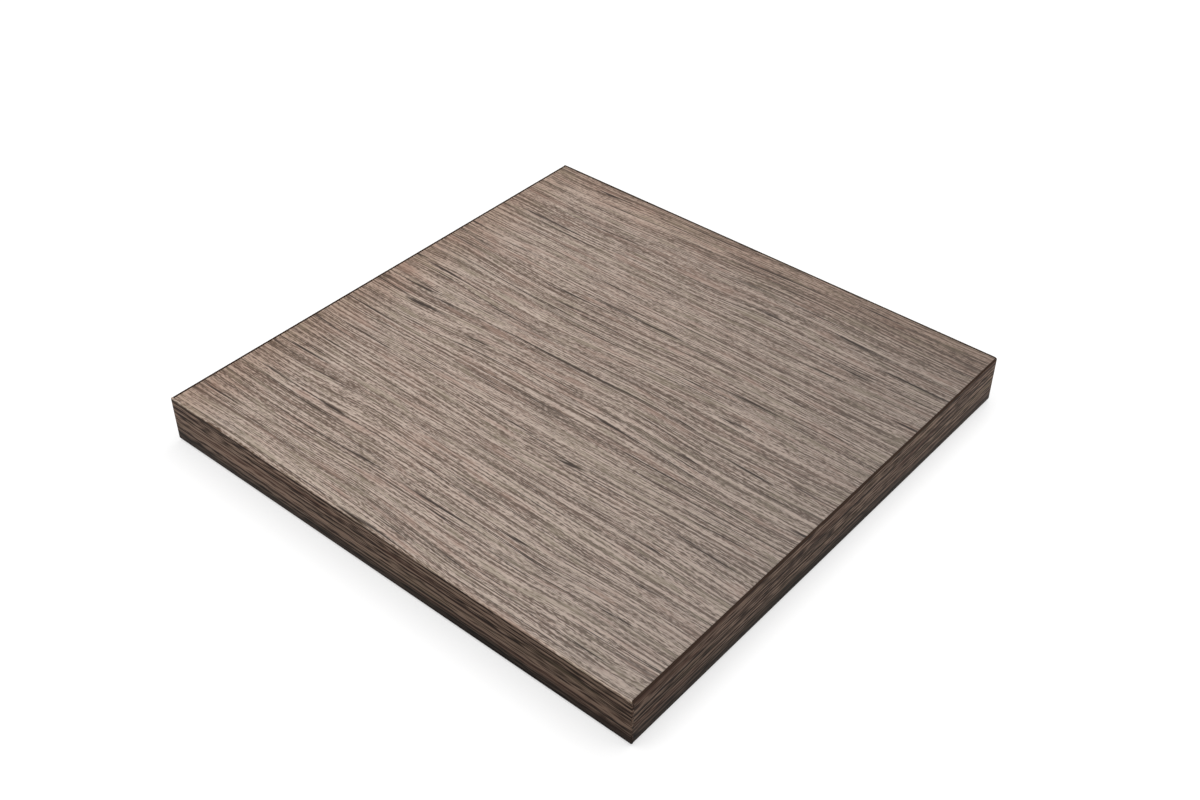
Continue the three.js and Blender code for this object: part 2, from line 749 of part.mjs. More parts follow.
function makeInlet() {
  const group = new THREE.Group();
  group.position.set(0, inletFace, boardMiddle);
  add(group, 'inlet_bezel', bezelShape(), finishes.darkPlastic);

  const shellStart = recessSize.depth + fitGap / 2;
  const shellOutline = roundEnded(shellSize);
  const inner = {
    width: shellSize.width - 2 * shellWall,
    height: shellSize.height - 2 * shellWall,
  };
  shellOutline.holes.push(roundEnded(inner));
  add(group, 'usb_c_shell', inward(shellOutline, shellStart, shellSize.depth), finishes.steel);

  const shellBack = shellStart + shellSize.depth;
  const base = inward(roundEnded(inner, -restGap), shellBack - tongueBase, tongueBase);
  const tongue = block(
    tongueSize.width, tongueSize.depth, -tongueSize.height / 2, tongueSize.height / 2,
  ).translate(0, tongueSize.depth / 2 - shellBack + restGap, 0);
  add(group, 'usb_c_tongue', joined([base, tongue]), finishes.chip);

  const { width, depth, thickness } = inletBoardSize;
  const boardLow = inletBoardTop - thickness - boardMiddle;
  const front = partitionBack - inletFace - fitGap;
  const inletBoard = block(width, depth, boardLow, boardLow + thickness)
    .translate(0, front - depth / 2, 0);
  add(group, 'inlet_board', inletBoard, finishes.circuit);

  [-1, 1].forEach((side, index) => {
    const screw = screwShape(inletScrew, true).rotateX(Math.PI / 2);
    const place = [side * inletScrewSpread, 0, 0];
    add(group, `inlet_screw_${index + 1}`, screw, finishes.darkSteel, place);
  });
  return group;
}

const chargingPad = new THREE.Group();
chargingPad.add(makeBoard(), makeCover(), makeModule(), makeLead(), makeInlet());

export default chargingPad;
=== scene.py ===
import json
import math
import bmesh
import bpy
import numpy as np
from mathutils import Matrix, Quaternion, Vector


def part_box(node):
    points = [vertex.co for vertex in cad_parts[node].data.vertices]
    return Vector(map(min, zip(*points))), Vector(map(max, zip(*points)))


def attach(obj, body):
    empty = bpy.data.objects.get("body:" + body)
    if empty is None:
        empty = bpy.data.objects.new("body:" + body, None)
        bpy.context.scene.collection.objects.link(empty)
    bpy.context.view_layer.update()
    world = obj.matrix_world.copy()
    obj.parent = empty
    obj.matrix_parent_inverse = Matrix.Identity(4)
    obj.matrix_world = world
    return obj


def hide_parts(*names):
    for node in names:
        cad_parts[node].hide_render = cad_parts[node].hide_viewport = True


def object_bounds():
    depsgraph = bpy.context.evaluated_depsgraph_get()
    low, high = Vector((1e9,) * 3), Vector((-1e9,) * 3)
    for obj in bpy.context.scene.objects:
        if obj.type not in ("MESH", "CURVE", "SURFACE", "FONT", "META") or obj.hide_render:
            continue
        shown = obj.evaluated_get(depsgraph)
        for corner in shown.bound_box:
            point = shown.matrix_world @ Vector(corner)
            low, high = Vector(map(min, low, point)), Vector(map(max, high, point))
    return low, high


# A square wireless charging board in oak decor, on a light table. Lengths are in metres.
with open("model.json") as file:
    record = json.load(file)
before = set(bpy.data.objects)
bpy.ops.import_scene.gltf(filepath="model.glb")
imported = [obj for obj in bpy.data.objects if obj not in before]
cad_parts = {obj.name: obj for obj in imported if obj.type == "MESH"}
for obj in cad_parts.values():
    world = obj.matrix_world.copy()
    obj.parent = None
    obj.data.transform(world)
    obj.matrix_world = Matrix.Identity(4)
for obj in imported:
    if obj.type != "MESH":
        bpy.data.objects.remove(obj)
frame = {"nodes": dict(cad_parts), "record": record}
cadBox = [list(corner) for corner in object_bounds()]
low, high = (np.array(corner) for corner in cadBox)
mm = 0.001
scene = bpy.context.scene


view = {
    "azimuth": 40.197,  # degrees round the board, and 0 looks along +Y
    "elevation": 39.344,
    "roll": 0.229,
    "distance": 0.5089,  # from the point aimed at
    "aim": (0.00986, -0.00728),  # on the top, from its middle
    "lens": 45.647, "sensor": 36.0,  # both in millimetres
    "nearest": 0.02, "farthest": 50.0,
}
light = {
    "exposure": 0.0,
    "world": 0.45,
    "worldColor": (1.0, 1.0, 1.0),
    "lamps": {  # place, size and power
        "key": ((-0.35, -0.45, 1.1), 0.9, 5.0),
        "back": ((-0.05, 0.8, 1.1), 0.8, 5.0),
        "right": ((0.75, 0.45, 1.1), 0.8, 3.6),
        "top": ((0.0, 0.0, 1.4), 1.4, 7.5),
    },
    "target": (0.0, 0.0, 0.01),  # every lamp points at it
    "floorColor": (0.39, 0.39, 0.39), "floorSize": 6.0, "floorGlow": 0.58,
}


def makeCamera():
    azimuth, elevation = math.radians(view["azimuth"]), math.radians(view["elevation"])
    # From the board to the camera: (sin a cos e, -cos a cos e, sin e).
    back = Vector((math.sin(azimuth) * math.cos(elevation),
                   -math.cos(azimuth) * math.cos(elevation),
                   math.sin(elevation)))
    aim = Vector((*view["aim"], high[2]))
    data = bpy.data.cameras.new("camera")
    data.lens = view["lens"]
    data.sensor_width = view["sensor"]
    data.clip_start, data.clip_end = view["nearest"], view["farthest"]
    camera = bpy.data.objects.new("camera", data)
    scene.collection.objects.link(camera)
    camera.location = aim + back * view["distance"]
    turn = (-back).to_track_quat("-Z", "Y")
    camera.rotation_mode = "QUATERNION"
    camera.rotation_quaternion = turn @ Quaternion((0, 0, 1), math.radians(view["roll"]))
    scene.camera = camera


def makeAreaLight(name, place, size, power):
    data = bpy.data.lights.new(name + "Light", "AREA")
    data.shape = "DISK"
    data.size = size
    data.energy = power
    lamp = bpy.data.objects.new(name + "Light", data)
    scene.collection.objects.link(lamp)
    lamp.location = place
    aim = Vector(light["target"]) - Vector(place)
    lamp.rotation_euler = aim.to_track_quat("-Z", "Y").to_euler()


def makeWorld():
    world = bpy.data.worlds.new("studio")
    world.use_nodes = True
    background = world.node_tree.nodes["Background"]
    background.inputs["Color"].default_value = (*light["worldColor"], 1)
    background.inputs["Strength"].default_value = light["world"]
    scene.world = world


def makeFloor(material):
    # A light table: a grey sheet that also glows, so that the board's shadow on it stays soft.
    shader = material.node_tree.nodes["Principled BSDF"]
    shader.inputs["Emission Color"].default_value = (1, 1, 1, 1)
    shader.inputs["Emission Strength"].default_value = light["floorGlow"]
    half = light["floorSize"] / 2
    corners = [(-half, -half, 0), (half, -half, 0), (half, half, 0), (-half, half, 0)]
    mesh = bpy.data.meshes.new("floor")
    mesh.from_pydata(corners, [], [(0, 1, 2, 3)])
    floor = bpy.data.objects.new("floor", mesh)
    scene.collection.objects.link(floor)
    mesh.materials.append(material)


def put(tree, kind, inputs=None, **settings):
    # A new node with its settings. An input that is another node's output is linked to it.
    node = tree.nodes.new(kind)
    for name, value in settings.items():
        setattr(node, name, value)
    for key, value in (inputs or {}).items():
        if isinstance(value, bpy.types.NodeSocket):
            tree.links.new(value, node.inputs[key])
        else:
            node.inputs[key].default_value = value
    return node


def calc(tree, operation, a, b=0.0, c=0.0):
    return put(tree, "ShaderNodeMath", {0: a, 1: b, 2: c}, operation=operation).outputs[0]


def smooth(tree, value, start, end, atStart=0.0, atEnd=1.0):
    # Goes from atStart to atEnd while the value goes from start to end, and is flat past them.
    node = put(tree, "ShaderNodeMapRange", {"Value": value, "From Min": start, "From Max": end,
                                            "To Min": atStart, "To Max": atEnd},
               interpolation_type="SMOOTHSTEP")
    return node.outputs["Result"]


def mixColor(tree, share, a, b, blend="MIX"):
    node = put(tree, "ShaderNodeMix", data_type="RGBA", blend_type=blend)
    for socket, value in ((node.inputs[0], share), (node.inputs[6], a), (node.inputs[7], b)):
        if isinstance(value, bpy.types.NodeSocket):
            tree.links.new(value, socket)
        else:
            socket.default_value = value
    return node.outputs[2]


def noise(tree, place, scale, detail, roughness=0.5):
    node = put(tree, "ShaderNodeTexNoise", {"Vector": place, "Scale": scale, "Detail": detail,
                                            "Roughness": roughness})
    return node.outputs["Fac"]


def newGroup(name, inputs, outputs):
    tree = bpy.data.node_groups.new(name, "ShaderNodeTree")
    for label, kind, default in inputs:
        socket = tree.interface.new_socket(label, in_out="INPUT", socket_type=kind)
        if default is not None:
            socket.default_value = default
    for label, kind in outputs:
        tree.interface.new_socket(label, in_out="OUTPUT", socket_type=kind)
    return tree, tree.nodes.new("NodeGroupInput").outputs, tree.nodes.new("NodeGroupOutput").inputs


number, color, vector = "NodeSocketFloat", "NodeSocketColor", "NodeSocketVector"


def rgb(red, green, blue):
    # From the 0 to 255 scale of a colour chart to linear light: share / 12.92 for dark tones,
    # else ((share + 0.055) / 1.055) ^ 2.4.
    share = np.array([red, green, blue]) / 255
    linear = np.where(share <= 0.04045, share / 12.92, ((share + 0.055) / 1.055) ** 2.4)
    return (*linear.tolist(), 1.0)


grainLayers = {  # length and width in millimetres, detail, roughness, and shift along the grain
    "slowBend": (75, 26, 1.0, 0.5, 3.1), "quickBend": (26, 4, 1.0, 0.5, 7.7),
    "broad": (90, 5.0, 2.0, 0.5, 1.3), "fine": (150, 0.55, 0.0, 0.5, 9.1),
    "hair": (9, 0.28, 0.0, 0.5, 2.7), "grit": (1.4, 0.25, 0.0, 0.5, 1.9),
    "drift": (60, 5.0, 1.0, 0.5, 18.5), "swell": (34, 3.0, 1.0, 0.5, 21.0),
    "hue": (16, 2.6, 3.0, 0.6, 4.4),
    "dash": (16, 0.28, 1.0, 0.5, 6.2), "cluster": (26, 2.0, 2.0, 0.5, 8.8),
    "contour": (120, 1.9, 1.0, 0.5, 12.0), "lineShare": (50, 1.7, 2.0, 0.5, 15.0),
}
grainMix = {
    "slowBend": 8.0, "quickBend": 0.5,  # how far these noises push the lines aside
    "ringPitch": 1.25, "drift": 3.5,  # millimetres between rings, and how many they wander
    "swellFrom": (-0.2, 0.2), "swell": (0.05, 0.3),  # the rings' least and most strength
    "broad": 0.15, "fine": 2.2, "hair": 1.4, "grit": 2.0,  # strength of each noise in the tone
    "middleAt": 0.5, "lightAt": 0.95, "darkAt": 0.05,  # tones that have the colours of the ramp
    "hueAt": 0.24, "hueShare": 0.6,
    "dashAt": (0.04, 0.16), "clusterAt": (-0.06, 0.12),
    "lineAt": (0.026, 0.01), "lineShareAt": (-0.02, 0.07),
    "fineHeight": 0.35, "darkHeight": -0.6, "fineRoughness": 0.12, "darkRoughness": 0.12,
    "middleHeight": 0.5, "middleRoughness": 0.5,
}


def makeGrainGroup():
    # Printed oak grain. The vector is in millimetres: X along the grain, Y across it, Z the sheet.
    # Lines are noises stretched along X, on a Y that two slower noises bend.
    tree, given, result = newGroup("woodGrain", [
        ("Vector", vector, None),
        ("Light", color, (0.5, 0.4, 0.35, 1)), ("Middle", color, (0.3, 0.25, 0.2, 1)),
        ("Dark", color, (0.15, 0.1, 0.09, 1)), ("Pore", color, (0.08, 0.06, 0.05, 1)),
        ("Warm", color, (0.35, 0.25, 0.2, 1)), ("Cool", color, (0.3, 0.28, 0.2, 1)),
        ("Length", number, 1.0), ("Width", number, 1.0), ("Contrast", number, 1.0),
        ("Pores", number, 1.0), ("Lines", number, 0.9), ("Bend", number, 1.0),
    ], [("Color", color), ("Height", number), ("Roughness", number)])
    mix = grainMix
    along, across, sheet = put(tree, "ShaderNodeSeparateXYZ", {0: given["Vector"]}).outputs

    def layer(name, y):
        # Noise at (along / length + shift, y / width, sheet), centred on 0.
        length, width, detail, roughness, shift = grainLayers[name]
        stretch = calc(tree, "DIVIDE", along, given["Length"])
        x = calc(tree, "MULTIPLY_ADD", stretch, 1 / length, shift)
        narrow = calc(tree, "MULTIPLY", given["Width"], width)
        place = put(tree, "ShaderNodeCombineXYZ",
                    {0: x, 1: calc(tree, "DIVIDE", y, narrow), 2: sheet}).outputs[0]
        return calc(tree, "SUBTRACT", noise(tree, place, 1.0, detail, roughness), 0.5)

    quickBend = calc(tree, "MULTIPLY", layer("quickBend", across), mix["quickBend"])
    bend = calc(tree, "MULTIPLY_ADD", layer("slowBend", across), mix["slowBend"], quickBend)
    bent = calc(tree, "MULTIPLY_ADD", bend, given["Bend"], across)

    # Growth rings: a sine of the distance across, wandering and swelling along the board.
    ringPitch = calc(tree, "MULTIPLY", given["Width"], mix["ringPitch"])
    phase = calc(tree, "MULTIPLY_ADD", layer("drift", bent), mix["drift"],
                 calc(tree, "DIVIDE", bent, ringPitch))
    ripple = calc(tree, "SINE", calc(tree, "MULTIPLY", phase, 2 * math.pi))
    swell = smooth(tree, layer("swell", bent), *mix["swellFrom"], *mix["swell"])
    fine = layer("fine", bent)
    broad = calc(tree, "MULTIPLY", layer("broad", bent), mix["broad"])
    tone = calc(tree, "MULTIPLY_ADD", ripple, swell, broad)
    tone = calc(tree, "MULTIPLY_ADD", fine, mix["fine"], tone)
    tone = calc(tree, "MULTIPLY_ADD", layer("hair", bent), mix["hair"], tone)
    tone = calc(tree, "MULTIPLY_ADD", layer("grit", bent), mix["grit"], tone)
    tone = calc(tree, "MULTIPLY_ADD", tone, given["Contrast"], mix["middleAt"])

    paler = smooth(tree, tone, mix["middleAt"], mix["lightAt"])
    darker = smooth(tree, tone, mix["middleAt"], mix["darkAt"])
    ramp = mixColor(tree, paler, given["Middle"], given["Light"])
    ramp = mixColor(tree, darker, ramp, given["Dark"])
    hue = layer("hue", bent)
    warmer = smooth(tree, hue, 0.0, mix["hueAt"], 0, mix["hueShare"])
    cooler = smooth(tree, hue, 0.0, -mix["hueAt"], 0, mix["hueShare"])
    ramp = mixColor(tree, warmer, ramp, given["Warm"])
    ramp = mixColor(tree, cooler, ramp, given["Cool"])

    # Pores are short dashes in clusters. Dark lines follow where a slow noise passes zero.
    pore = calc(tree, "MULTIPLY", smooth(tree, layer("dash", bent), *mix["dashAt"]),
                smooth(tree, layer("cluster", bent), *mix["clusterAt"]))
    pore = calc(tree, "MULTIPLY", pore, given["Pores"])
    contour = calc(tree, "ABSOLUTE", layer("contour", bent))
    line = calc(tree, "MULTIPLY", smooth(tree, contour, *mix["lineAt"]),
                smooth(tree, layer("lineShare", bent), *mix["lineShareAt"]))
    dark = calc(tree, "MAXIMUM", pore, calc(tree, "MULTIPLY", line, given["Lines"]))
    tree.links.new(mixColor(tree, dark, ramp, given["Pore"]), result["Color"])

    height = calc(tree, "MULTIPLY_ADD", fine, mix["fineHeight"], mix["middleHeight"])
    height = calc(tree, "MULTIPLY_ADD", dark, mix["darkHeight"], height)
    tree.links.new(height, result["Height"])
    roughness = calc(tree, "MULTIPLY_ADD", fine, mix["fineRoughness"], mix["middleRoughness"])
    roughness = calc(tree, "MULTIPLY_ADD", dark, mix["darkRoughness"], roughness)
    tree.links.new(roughness, result["Roughness"])
    return tree


speckleMix = {"coarseScale": 0.12, "detail": 3.0, "roughness": 0.25}


def makeSpeckleGroup():
    # Spark-eroded or sanded texture: one fine and one coarse noise, in millimetres.
    tree, given, result = newGroup("speckle", [
        ("Vector", vector, None), ("Grain", number, 0.25), ("Base", color, (0.1, 0.1, 0.1, 1)),
        ("Spread", number, 0.2), ("Gloss", number, 0.5),
    ], [("Color", color), ("Height", number), ("Roughness", number)])
    scale = calc(tree, "DIVIDE", 1.0, given["Grain"])
    fine = noise(tree, given["Vector"], scale, speckleMix["detail"])
    coarse = noise(tree, given["Vector"], speckleMix["coarseScale"], speckleMix["detail"])
    shade = calc(tree, "ADD", calc(tree, "SUBTRACT", fine, 0.5), calc(tree, "SUBTRACT", coarse, 0.5))
    factor = calc(tree, "MULTIPLY_ADD", shade, given["Spread"], 1.0)
    tinted = put(tree, "ShaderNodeVectorMath", {0: given["Base"], "Scale": factor},
                 operation="SCALE").outputs[0]
    tree.links.new(tinted, result["Color"])
    tree.links.new(fine, result["Height"])
    roughness = calc(tree, "MULTIPLY_ADD", shade, speckleMix["roughness"], given["Gloss"])
    tree.links.new(roughness, result["Roughness"])
    return tree


drawnMix = {
    "stretch": (0.4, 14, 14), "detail": 3.0, "streakRoughness": 0.6, "stainScale": 0.7,
    "streak": 0.3, "streakBase": 0.7,  # brightness of the metal between its streaks
    "stain": 0.3,
}


def makeDrawnGroup():
    # Drawn or turned metal: long thin streaks of tone along the vector's X, in millimetres.
    tree, given, result = newGroup("drawnMetal", [
        ("Vector", vector, None), ("Base", color, (0.6, 0.6, 0.6, 1)), ("Gloss", number, 0.3),
    ], [("Color", color), ("Height", number), ("Roughness", number)])
    mix = drawnMix
    place = put(tree, "ShaderNodeMapping", {"Vector": given["Vector"], "Scale": mix["stretch"]})
    streak = noise(tree, place.outputs[0], 1.0, mix["detail"], mix["streakRoughness"])
    stain = noise(tree, given["Vector"], mix["stainScale"], mix["detail"])
    shade = calc(tree, "ADD", calc(tree, "MULTIPLY_ADD", streak, mix["streak"], mix["streakBase"]),
                 calc(tree, "MULTIPLY_ADD", stain, mix["stain"], -mix["stain"] / 2))
    tinted = put(tree, "ShaderNodeVectorMath", {0: given["Base"], "Scale": shade},
                 operation="SCALE").outputs[0]
    tree.links.new(tinted, result["Color"])
    tree.links.new(streak, result["Height"])
    roughness = calc(tree, "MULTIPLY_ADD", stain, mix["stain"], given["Gloss"])
    tree.links.new(roughness, result["Roughness"])
    return tree


grain = makeGrainGroup()
speckle = makeSpeckleGroup()
drawn = makeDrawnGroup()


def newMaterial(name, metallic=0.0, **sockets):
    material = bpy.data.materials.new(name)
    material.use_nodes = True
    tree = material.node_tree
    shader = tree.nodes["Principled BSDF"]
    shader.inputs["Metallic"].default_value = metallic
    for label, value in sockets.items():
        shader.inputs[label.replace("_", " ")].default_value = value
    place = put(tree, "ShaderNodeTexCoord").outputs["Object"]
    return material, tree, shader, place


def inMillimetres(tree, place, order=(0, 1, 2), shift=(0, 0, 0)):
    # The object's axes in the pattern's order, times 1000, plus a shift.
    axes = put(tree, "ShaderNodeSeparateXYZ", {0: place}).outputs
    turned = put(tree, "ShaderNodeCombineXYZ", {i: axes[order[i]] for i in range(3)})
    scaled = put(tree, "ShaderNodeMapping", {"Vector": turned.outputs[0],
                                             "Scale": (1000, 1000, 1000), "Location": shift})
    return scaled.outputs[0]


def dress(tree, shader, effect, bumpStrength, bumpDepth):
    tree.links.new(effect.outputs["Color"], shader.inputs["Base Color"])
    tree.links.new(effect.outputs["Roughness"], shader.inputs["Roughness"])
    bump = put(tree, "ShaderNodeBump", {"Height": effect.outputs["Height"],
                                        "Strength": bumpStrength, "Distance": bumpDepth})
    tree.links.new(bump.outputs[0], shader.inputs["Normal"])


decor = {  # the sheets' print
    "light": rgb(172, 156, 144), "middle": rgb(138, 122, 111), "dark": rgb(88, 72, 61),
    "pore": rgb(52, 41, 34), "warm": rgb(143, 118, 105), "cool": rgb(130, 119, 101),
    "length": 1.2, "width": 1.0, "contrast": 1.05, "pores": 0.65, "lines": 1.0, "bend": 1.0,
    "bump": 0.35, "depth": 0.05 * mm, "specular": 0.35,
    # painted shade: a warmer, darker tint along the left and back edges, where less sheen shows
    "stain": rgb(214, 184, 158), "stainReach": 26 * mm, "stainShare": 0.4,
    # painted shade: darker towards the right, where less light falls
    "dusk": 0.4, "duskAlong": 0.75, "duskAcross": 0.25,
    "duskStart": 0.6, "duskEnd": 1.3,  # shares of half the board
}
# The bands' print is darker than the sheet's: partly its own colour and partly painted shade on the
# upright sides.
edgeDecor = {  # the bands' print, darker and longer
    "light": rgb(126, 105, 91), "middle": rgb(88, 71, 60), "dark": rgb(38, 27, 21),
    "pore": rgb(18, 11, 8), "warm": rgb(98, 69, 56), "cool": rgb(84, 72, 55),
    "length": 4.0, "width": 1.6, "contrast": 1.5, "pores": 0.6, "lines": 0.7, "bend": 0.35,
    # painted shade: darker towards the foot and towards the near corner
    "footTone": 0.13, "footStart": 1 * mm, "footEnd": 8.5 * mm, "cornerTone": 0.75,
    "rimStart": 0.25 * mm, "rimFull": 0.075 * mm, "rim": rgb(48, 36, 29),  # below the top
    "mitreBlur": 0.1 * mm,
    "bump": 0.3, "depth": 0.05 * mm, "specular": 0.03,
}


def grainNode(tree, place, tones, order, shift):
    effect = put(tree, "ShaderNodeGroup", node_tree=grain)
    tree.links.new(inMillimetres(tree, place, order, shift), effect.inputs["Vector"])
    for label in ("Light", "Middle", "Dark", "Pore", "Warm", "Cool", "Length", "Width",
                  "Contrast", "Pores", "Lines", "Bend"):
        effect.inputs[label].default_value = tones[label.lower()]
    return effect


def decorMaterial(name, tones, order, shift):
    material, tree, shader, place = newMaterial(name, Specular_IOR_Level=tones["specular"])
    effect = grainNode(tree, place, tones, order, shift)
    dress(tree, shader, effect, tones["bump"], tones["depth"])
    return material, tree, shader, place, effect.outputs["Color"]


def shadeColor(tree, shade, tone):
    return put(tree, "ShaderNodeVectorMath", {0: tone, "Scale": shade}, operation="SCALE").outputs[0]


def sheetMaterial():
    # Painted shade: the sheet is tinted warmer and darker along its left and back edges, where
    # less sheen shows, and it is darker to the right, where less light falls.
    material, tree, shader, place, tone = decorMaterial("topDecor", decor, (0, 1, 2), (0, 0, 0))
    x, y, _ = put(tree, "ShaderNodeSeparateXYZ", {0: place}).outputs
    # Painted shade: the warmer, darker tint near the left and back edges.
    reach = decor["stainReach"]
    edgeShaded = calc(tree, "MAXIMUM", smooth(tree, x, low[0] + reach, low[0]),
                   smooth(tree, y, high[1] - reach, high[1]))
    tone = mixColor(tree, calc(tree, "MULTIPLY", edgeShaded, decor["stainShare"]), tone,
                    decor["stain"], "MULTIPLY")
    # Painted shade: the sheet darkens towards the right.
    slant = calc(tree, "MULTIPLY_ADD", x, decor["duskAlong"],
                 calc(tree, "MULTIPLY", y, decor["duskAcross"]))
    shade = smooth(tree, slant, decor["duskStart"] * low[0], decor["duskEnd"] * high[0],
                   1.0, 1.0 - decor["dusk"])
    tree.links.new(shadeColor(tree, shade, tone), shader.inputs["Base Color"])
    return material


def bandMaterial(name, order, shift, printed=False):
    # Painted shade darkens a band towards its foot and towards the near corner. Its upper
    # edge is dark, or is printed like the sheet that it meets.
    material, tree, shader, place, tone = decorMaterial(name, edgeDecor, order, shift)
    x, y, z = put(tree, "ShaderNodeSeparateXYZ", {0: place}).outputs
    # Painted shade: darker towards the foot and towards the near corner.
    shade = smooth(tree, z, edgeDecor["footStart"], edgeDecor["footEnd"], edgeDecor["footTone"], 1.0)
    corner = smooth(tree, calc(tree, "SUBTRACT", x, y), 0.0, 2 * high[0], 1.0,
                    edgeDecor["cornerTone"])
    tone = shadeColor(tree, calc(tree, "MULTIPLY", shade, corner), tone)
    edge = smooth(tree, z, high[2] - edgeDecor["rimStart"], high[2] - edgeDecor["rimFull"])
    rimTone = edgeDecor["rim"]
    if printed:
        # The print stops at the mitre line, where it meets the next band's dark edge.
        blur = edgeDecor["mitreBlur"]
        mitre = smooth(tree, calc(tree, "ADD", x, y), blur, -blur)
        sheetTone = grainNode(tree, place, decor, (0, 1, 2), (0, 0, 0)).outputs["Color"]
        rimTone = mixColor(tree, mitre, rimTone, sheetTone)
    tree.links.new(mixColor(tree, edge, tone, rimTone), shader.inputs["Base Color"])
    return material


def plainMaterial(name, group, base, gloss, bump=0.2, depth=0.02 * mm, metallic=0.0, **values):
    material, tree, shader, place = newMaterial(name, metallic)
    effect = put(tree, "ShaderNodeGroup", node_tree=group)
    tree.links.new(inMillimetres(tree, place), effect.inputs["Vector"])
    effect.inputs["Base"].default_value = base
    effect.inputs["Gloss"].default_value = gloss
    for label, value in values.items():
        effect.inputs[label].default_value = value
    dress(tree, shader, effect, bump, depth)
    return material


materials = {  # plainMaterial's numbers are roughness and the strength of its bump
    "top_decor": sheetMaterial(),
    "bandFront": bandMaterial("bandFront", (0, 2, 1), (310, 17, 0), printed=True),
    "bandBack": bandMaterial("bandBack", (0, 2, 1), (310, 17, 0)),
    "bandSide": bandMaterial("bandSide", (1, 2, 0), (730, 43, 0)),
    "chipboard": plainMaterial("chipboard", speckle, rgb(182, 150, 104), 0.85, 0.5, Grain=1.4,
                               Spread=1.2),
    "dark_plastic": plainMaterial("mouldedPlastic", speckle, rgb(36, 36, 39), 0.5, Grain=0.3),
    "rubber": plainMaterial("footRubber", speckle, rgb(30, 30, 30), 0.75, Grain=0.4),
    "lead_sheath": plainMaterial("leadSheath", speckle, rgb(28, 28, 29), 0.5, Grain=0.8),
    "zinc_steel": plainMaterial("zincSteel", drawn, rgb(200, 200, 198), 0.2, metallic=1.0),
    "black_steel": plainMaterial("blackSteel", drawn, rgb(70, 70, 72), 0.25, metallic=1.0),
    "litz_copper": plainMaterial("litzCopper", drawn, rgb(196, 120, 70), 0.3, metallic=1.0),
    "ferrite": plainMaterial("ferrite", speckle, rgb(62, 62, 66), 0.6, Grain=0.15),
    "tape": plainMaterial("tapeFilm", speckle, rgb(214, 200, 140), 0.45, Grain=1.0),
    "circuit_laminate": plainMaterial("circuitMask", speckle, rgb(28, 88, 54), 0.35, Grain=0.6),
    "chip_plastic": plainMaterial("chipPlastic", speckle, rgb(26, 26, 28), 0.5, Grain=0.1),
    "capacitor_ceramic": plainMaterial("ceramicBody", speckle, rgb(160, 130, 98), 0.4, Grain=0.2),
    "connector_plastic": plainMaterial("nylon", speckle, rgb(226, 221, 207), 0.35, Grain=0.5),
    "tinned_steel": plainMaterial("tinnedSteel", drawn, rgb(206, 206, 204), 0.22, metallic=1.0),
    "bead_glass": plainMaterial("glazedBead", speckle, rgb(48, 52, 60), 0.15, Grain=0.5),
    "floor": plainMaterial("studioFloor", speckle, (*light["floorColor"], 1), 0.8, 0.0,
                           Grain=40.0, Spread=0.01),
}


shape = {"sharpAngle": 35, "joinUnder": 0.001 * mm}  # edges over the angle stay sharp


def newMesh(name, corners, faces):
    mesh = bpy.data.meshes.new(name)
    mesh.from_pydata(np.asarray(corners).tolist(), [], faces)
    return tidyMesh(mesh)


def tidyMesh(mesh):
    # Joins doubled corners, turns every face outwards and shades all but the sharp edges smooth.
    work = bmesh.new()
    work.from_mesh(mesh)
    bmesh.ops.remove_doubles(work, verts=work.verts, dist=shape["joinUnder"])
    bmesh.ops.recalc_face_normals(work, faces=work.faces)
    work.to_mesh(mesh)
    work.free()
    mesh.shade_smooth()
    mesh.set_sharp_from_angle(angle=math.radians(shape["sharpAngle"]))
    return mesh


def ringFaces(rings, count):
    # Quads between neighbouring rings of the same count, and a face over each end.
    start = np.arange(rings - 1)[:, None] * count
    here, after = np.arange(count), (np.arange(count) + 1) % count
    quads = np.stack([start + here, start + after, start + after + count, start + here + count], -1)
    last = (rings - 1) * count
    return quads.reshape(-1, 4).tolist() + [list(range(count)), list(range(last, last + count))]


def addPiece(name, mesh, slotName, *nodes):
    # A finished piece: the material of its slot, its body, and the CAD nodes that it covers, which
    # are hidden.
    piece = bpy.data.objects.new(name, mesh)
    scene.collection.objects.link(piece)
    mesh.materials.clear()
    mesh.materials.append(materials[slotName])
    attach(piece, "root")
    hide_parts(*nodes)


def edgeArc(steps):
    # A quarter circle of radius 1 as (inset, rise), from (1, 0) to (0, 1):
    # inset = 1 - sin(angle), rise = 1 - cos(angle).
    angle = np.linspace(0, math.pi / 2, steps)
    return 1 - np.sin(angle), 1 - np.cos(angle)


def arc(x, y, radius, start, end, steps):
    # Points (x + radius cos, y + radius sin) for evenly spaced angles, in degrees.
    angle = np.radians(np.linspace(start, end, steps))
    return np.stack([x + radius * np.cos(angle), y + radius * np.sin(angle)], -1)


def roundedBox(halfLength, halfWidth, radius, steps):
    # Four quarter circles, one at each corner, anticlockwise.
    x, y = halfLength - radius, halfWidth - radius
    spots = ((x, y), (-x, y), (-x, -y), (x, -y))
    return np.concatenate([arc(*spot, radius, 90 * i, 90 * i + 90, steps)
                           for i, spot in enumerate(spots)])


flatSteps = 2  # on the eased edge of a flat sheet


